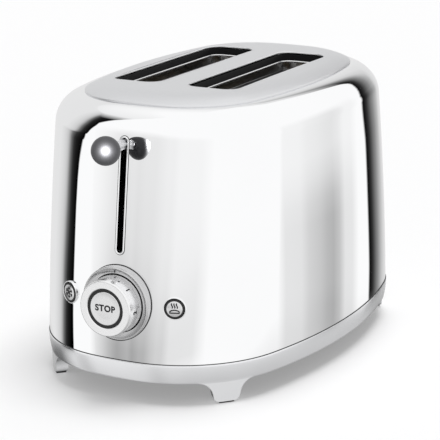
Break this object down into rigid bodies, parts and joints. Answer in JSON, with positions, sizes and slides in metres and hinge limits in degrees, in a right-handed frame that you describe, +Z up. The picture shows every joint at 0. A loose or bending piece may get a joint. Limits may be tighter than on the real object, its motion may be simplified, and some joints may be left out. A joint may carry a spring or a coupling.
{
  "type": "two-slot toaster",
  "caption": "Retro two-slot toaster with a mirror-chrome oval body on four feet, a crowned satin top, a ball-ended lever, a browning knob with a stop button, and a crumb tray.",
  "frame": {"origin": "middle of the whole toaster's footprint, on the surface that it stands on", "axes": "-Y is the control end with lever and knob, +Y the crumb tray's end, +X the long side on the right seen from the controls, +Z up"},
  "size_m": [0.195, 0.3126, 0.198],
  "materials": {
    "mirror_chrome": "mirror",
    "satin_steel": "satin",
    "steel_sheet": "satin",
    "reflector_sheet": "bright",
    "black_rubber": "matte",
    "black_plastic": "matte",
    "mica_board": "matte",
    "circuit_board": "satin",
    "pale_plastic": "matte",
    "magnet_iron": "satin"
  },
  "bodies": {
    "housing": {"base_ring": "mirror_chrome", "base_screws": "steel_sheet", "body_shell": "mirror_chrome", "bottom_plate": "black_plastic", "carriage_spring": "steel_sheet", "chassis_base": "steel_sheet", "chassis_top": "steel_sheet", "control_board": "circuit_board", "control_frame": "black_plastic", "cord_gland": "black_plastic", "defrost_rim": "mirror_chrome", "defrost_socket": "black_plastic", "electromagnet": "magnet_iron", "foot_pad_front_left": "black_rubber", "foot_pad_front_right": "black_rubber", "foot_pad_rear_left": "black_rubber", "foot_pad_rear_right": "black_rubber", "front_plate": "steel_sheet", "guide_rod": "steel_sheet", "heater_board_left_inner": "mica_board", "heater_board_left_outer": "mica_board", "heater_board_right_inner": "mica_board", "heater_board_right_outer": "mica_board", "knob_bezel": "mirror_chrome", "lever_bezel": "mirror_chrome", "rear_plate": "steel_sheet", "reheat_rim": "mirror_chrome", "reheat_socket": "black_plastic", "ring_potentiometer": "black_plastic", "side_reflector_left": "reflector_sheet", "side_reflector_right": "reflector_sheet", "slot_collar_left": "black_plastic", "slot_collar_right": "black_plastic", "stop_post": "black_plastic", "terminal_block": "pale_plastic", "top_plate": "satin_steel"},
    "lever": {"carriage": "steel_sheet", "keeper_plate": "steel_sheet", "lever_arm": "mirror_chrome", "lever_ball": "mirror_chrome", "bread_rack_left": "steel_sheet", "bread_rack_right": "steel_sheet"},
    "knob": {"browning_knob": "satin_steel"},
    "stop": {"stop_button": "satin_steel"},
    "defrost": {"defrost_button": "satin_steel"},
    "reheat": {"reheat_button": "satin_steel"},
    "tray": {"crumb_tray": "steel_sheet", "tray_pull": "satin_steel"},
    "guide_left_inner": {"bread_guide_left_inner": "steel_sheet"},
    "guide_left_outer": {"bread_guide_left_outer": "steel_sheet"},
    "guide_right_inner": {"bread_guide_right_inner": "steel_sheet"},
    "guide_right_outer": {"bread_guide_right_outer": "steel_sheet"}
  },
  "joints": [
    {"name": "lever_slide", "type": "slide", "parent": "housing", "child": "lever", "axis": [0, 0, 1], "range_m": [-0.066, 0], "stiffness_N_per_m": 60, "springref_m": 0.06, "deforming": ["carriage_spring"]},
    {"name": "knob_turn", "type": "hinge", "parent": "housing", "child": "knob", "pos_m": [0, -0.13766, 0.0659], "axis": [0, -1, 0], "range_deg": [0, 287]},
    {"name": "stop_press", "type": "slide", "parent": "housing", "child": "stop", "axis": [0, 1, 0], "range_m": [0, 0.002], "stiffness_N_per_m": 1500, "springref_m": -0.0005},
    {"name": "defrost_press", "type": "slide", "parent": "housing", "child": "defrost", "axis": [0.3599, 0.933, 0], "range_m": [0, 0.002], "stiffness_N_per_m": 1500, "springref_m": -0.0005},
    {"name": "reheat_press", "type": "slide", "parent": "housing", "child": "reheat", "axis": [-0.3599, 0.933, 0], "range_m": [0, 0.002], "stiffness_N_per_m": 1500, "springref_m": -0.0005},
    {"name": "tray_slide", "type": "slide", "parent": "housing", "child": "tray", "axis": [0, 1, 0], "range_m": [0, 0.215]},
    {"name": "guide_left_inner_slide", "type": "slide", "parent": "housing", "child": "guide_left_inner", "axis": [1, 0, 0], "range_m": [-0.0055, 0]},
    {"name": "guide_left_outer_slide", "type": "slide", "parent": "housing", "child": "guide_left_outer", "axis": [1, 0, 0], "range_m": [0, 0.0055]},
    {"name": "guide_right_inner_slide", "type": "slide", "parent": "housing", "child": "guide_right_inner", "axis": [1, 0, 0], "range_m": [0, 0.0055]},
    {"name": "guide_right_outer_slide", "type": "slide", "parent": "housing", "child": "guide_right_outer", "axis": [1, 0, 0], "range_m": [-0.0055, 0]}
  ],
  "couplings": [
    {"joint": "guide_left_inner_slide", "follows": "lever_slide", "ratio": 0.08333},
    {"joint": "guide_left_outer_slide", "follows": "lever_slide", "ratio": -0.08333},
    {"joint": "guide_right_inner_slide", "follows": "lever_slide", "ratio": -0.08333},
    {"joint": "guide_right_outer_slide", "follows": "lever_slide", "ratio": 0.08333}
  ]
}
